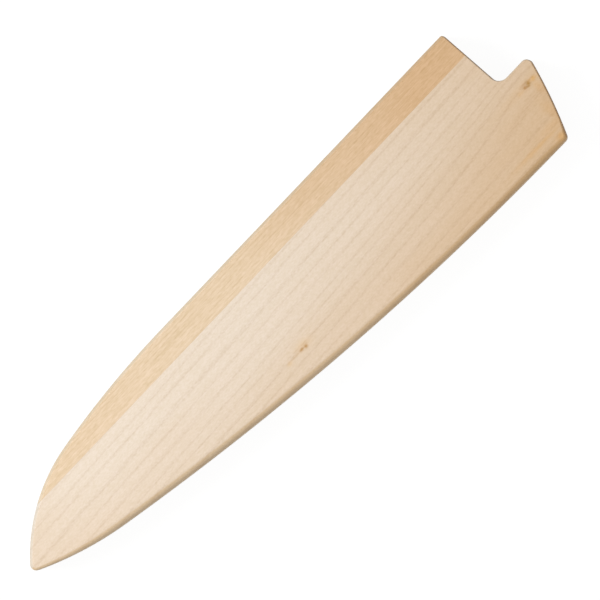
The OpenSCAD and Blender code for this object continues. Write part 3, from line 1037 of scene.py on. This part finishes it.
def nickel():
    """Bright nickel plating with fine scratches and a few dull patches."""
    material, tree, shader = new_material("nickel")
    shader.inputs["Metallic"].default_value = 1.0
    place = add_node(tree, "ShaderNodeTexCoord").outputs["Object"]
    scratches = stretched(tree, place, *SCRATCH_SIZE, seed=31.0)
    scratches = map_range(tree, scratches, *SCRATCH_LEVELS)
    dull = map_range(tree, stretched(tree, place, *PATCH_SIZE, seed=32.0), *PATCH_LEVELS)
    put(tree, shader.inputs["Base Color"],
        blend_colours(tree, dull, NICKEL_BRIGHT, NICKEL_DULL))
    rough = calc(tree, "MULTIPLY_ADD", dull, DULL_ROUGH, NICKEL_ROUGH)
    rough = calc(tree, "MULTIPLY_ADD", scratches, SCRATCH_ROUGH, rough)
    put(tree, shader.inputs["Roughness"], rough)
    raise_surface(tree, shader, scratches, *NICKEL_BUMP)
    return material


def front_board_maple(groups):
    """Wide growth rings that rise over a small knot in the nose, and a mineral fleck."""
    return maple("front_board_maple", groups, 2.0, BOARD,
                 {"Pith Across": 75 * MM, "Pith Height": -45 * MM, "Rise": 0.037,
                  "Ring Width": 2.85 * MM, "Line Width": 0.5 * MM, "First": 0.226,
                  "Unevenness": 0.105, "Slow Spell": 6.0, "Slow Phase": 0.63, "Quick Spell": 2.6,
                  "Quick Phase": 2.53},
                 knot={"Along": 109.3 * MM, "Across": -4.6 * MM, "Long Rise": 3.5 * MM,
                       "Short Rise": 2.5 * MM},
                 fleck={"Along": -2.6 * MM, "Across": -11.4 * MM})


def front_strip_maple(groups):
    """Narrow growth rings that run nearly level."""
    return maple("front_strip_maple", groups, 7.0, STRIP,
                 {"Pith Across": 160 * MM, "Pith Height": -20 * MM, "Rise": 0.004,
                  "Ring Width": 1.2 * MM, "Line Width": 0.2 * MM, "Unevenness": 0.12})


def back_board_maple(groups):
    """A board of its own, with rings that lean the other way."""
    return maple("back_board_maple", groups, 17.0, BOARD,
                 {"Pith Across": 62 * MM, "Pith Height": 70 * MM, "Rise": -0.02,
                  "Ring Width": 2.7 * MM, "Unevenness": 0.11, "Slow Spell": 5.3,
                  "Slow Phase": 1.9, "Quick Phase": 0.4})


def back_strip_maple(groups):
    """The back strip comes from another stick of the same timber as the front one."""
    return maple("back_strip_maple", groups, 23.0, STRIP,
                 {"Pith Across": 150 * MM, "Pith Height": 40 * MM, "Rise": -0.006,
                  "Ring Width": 1.3 * MM, "Line Width": 0.2 * MM, "Unevenness": 0.12})


def cap_maple(groups):
    """Thin caps cut from one veneer of the strips' timber."""
    return maple("cap_maple", groups, 41.0, STRIP,
                 {"Pith Across": 90 * MM, "Pith Height": 60 * MM, "Rise": 0.02,
                  "Ring Width": 2.2 * MM})


def all_materials():
    """The materials of all pieces, by the kind of piece."""
    groups = {"knot": pin_knot_group(), "fleck": fleck_group(), "rings": growth_ring_group(),
              "drift": drift_and_painted_falloff_group(), "fibres": fibre_group(), "cuts": cut_face_group()}
    return {"front_board": front_board_maple(groups), "front_strip": front_strip_maple(groups),
            "back_board": back_board_maple(groups), "back_strip": back_strip_maple(groups),
            "cap": cap_maple(groups), "magnet": nickel()}


# Camera: it looks down on the guard, turned as in the photograph and leaning a little
TURN = math.radians(46.36)
TILT = math.radians(2.2)
IMAGE_RIGHT = Vector((math.cos(TURN), -math.sin(TURN), 0))
IMAGE_UP = Vector((math.sin(TURN), math.cos(TURN), 0))
VIEW_WIDTH = 195.5 * MM
AIM = Vector((7.8 * MM, 0.3 * MM, FRONT_Z))
LENS_MM = 1300
SENSOR_MM = 36
FARTHEST = 20

# Light: a soft lamp on the photograph's left, and an even white surround that fills the shadows
FILL_STRENGTH = 0.57
KEY_POWER = 6.6
KEY_SIZE = 0.45
KEY_DISTANCE = 1.0
KEY_ELEVATION = math.radians(42)
KEY_LEFT = 1.0
KEY_UP = 0.05

# Floor: pale paper, which glows for the camera so that it shows as white as the surround
FLOOR_SIZE = 6
FLOOR_GAP = 0.02 * MM
FLOOR_SHADE = 0.4
FLOOR_SEEN_SHADE = 0.12
FLOOR_LIFT = 0.93


def add_camera():
    """The camera that the photograph is matched with."""
    data = bpy.data.cameras.new("camera")
    camera = in_scene("camera", data)
    data.lens = LENS_MM
    data.sensor_width = SENSOR_MM
    data.clip_end = FARTHEST
    back = Vector((0, 0, math.cos(TILT))) + IMAGE_RIGHT * math.sin(TILT)
    side = IMAGE_UP.cross(back).normalized()
    up = back.cross(side).normalized()
    distance = VIEW_WIDTH * LENS_MM / SENSOR_MM
    matrix = Matrix((side, up, back)).transposed().to_4x4()
    matrix.translation = AIM + back * distance
    camera.matrix_world = matrix
    bpy.context.scene.camera = camera


def add_key_light():
    """The lamp, which points at the guard's middle."""
    side = (IMAGE_UP * KEY_UP - IMAGE_RIGHT * KEY_LEFT).normalized()
    height = Vector((0, 0, math.sin(KEY_ELEVATION)))
    place = KEY_DISTANCE * (side * math.cos(KEY_ELEVATION) + height)
    data = bpy.data.lights.new("key", "AREA")
    data.size = KEY_SIZE
    data.energy = KEY_POWER
    light = in_scene("key", data)
    light.location = place
    light.rotation_mode = "QUATERNION"
    light.rotation_quaternion = (-place).to_track_quat("-Z", "Y")


def grey(level):
    """Colour without a tint."""
    return (level, level, level, 1)


def seen_directly(tree):
    """1 for rays from the camera and for mirrored or refracted ones, and 0 for scattered light."""
    path = add_node(tree, "ShaderNodeLightPath").outputs
    seen = calc(tree, "MAXIMUM", path["Is Camera Ray"], path["Is Glossy Ray"])
    return calc(tree, "MAXIMUM", seen, path["Is Transmission Ray"])


def add_world():
    """The white surround, which gives less light than it shows."""
    world = bpy.data.worlds.new("studio")
    bpy.context.scene.world = world
    world.use_nodes = True
    tree = world.node_tree
    background = tree.nodes["Background"]
    background.inputs["Color"].default_value = grey(1.0)
    strength = map_range(tree, seen_directly(tree), 0.0, 1.0, FILL_STRENGTH, 1.0)
    put(tree, background.inputs["Strength"], strength)


def add_floor():
    """The paper that the guard lies on."""
    bm = bmesh.new()
    bmesh.ops.create_grid(bm, x_segments=1, y_segments=1, size=FLOOR_SIZE)
    for vert in bm.verts:
        vert.co.z = BACK_Z - FLOOR_GAP
    floor = new_object("floor", bm)
    material, tree, shader = new_material("pale_paper")
    seen = seen_directly(tree)
    put(tree, shader.inputs["Base Color"],
        blend_colours(tree, seen, grey(FLOOR_SHADE), grey(FLOOR_SEEN_SHADE)))
    shader.inputs["Roughness"].default_value = 1.0
    shader.inputs["Specular IOR Level"].default_value = 0.0
    shader.inputs["Emission Color"].default_value = grey(1.0)
    put(tree, shader.inputs["Emission Strength"], calc(tree, "MULTIPLY", seen, FLOOR_LIFT))
    floor.data.materials.append(material)


materials = all_materials()
wooden_halves(materials)
magnets_and_caps(materials)
add_camera()
add_world()
add_floor()
add_key_light()

bpy.context.scene.view_settings.view_transform = "Standard"
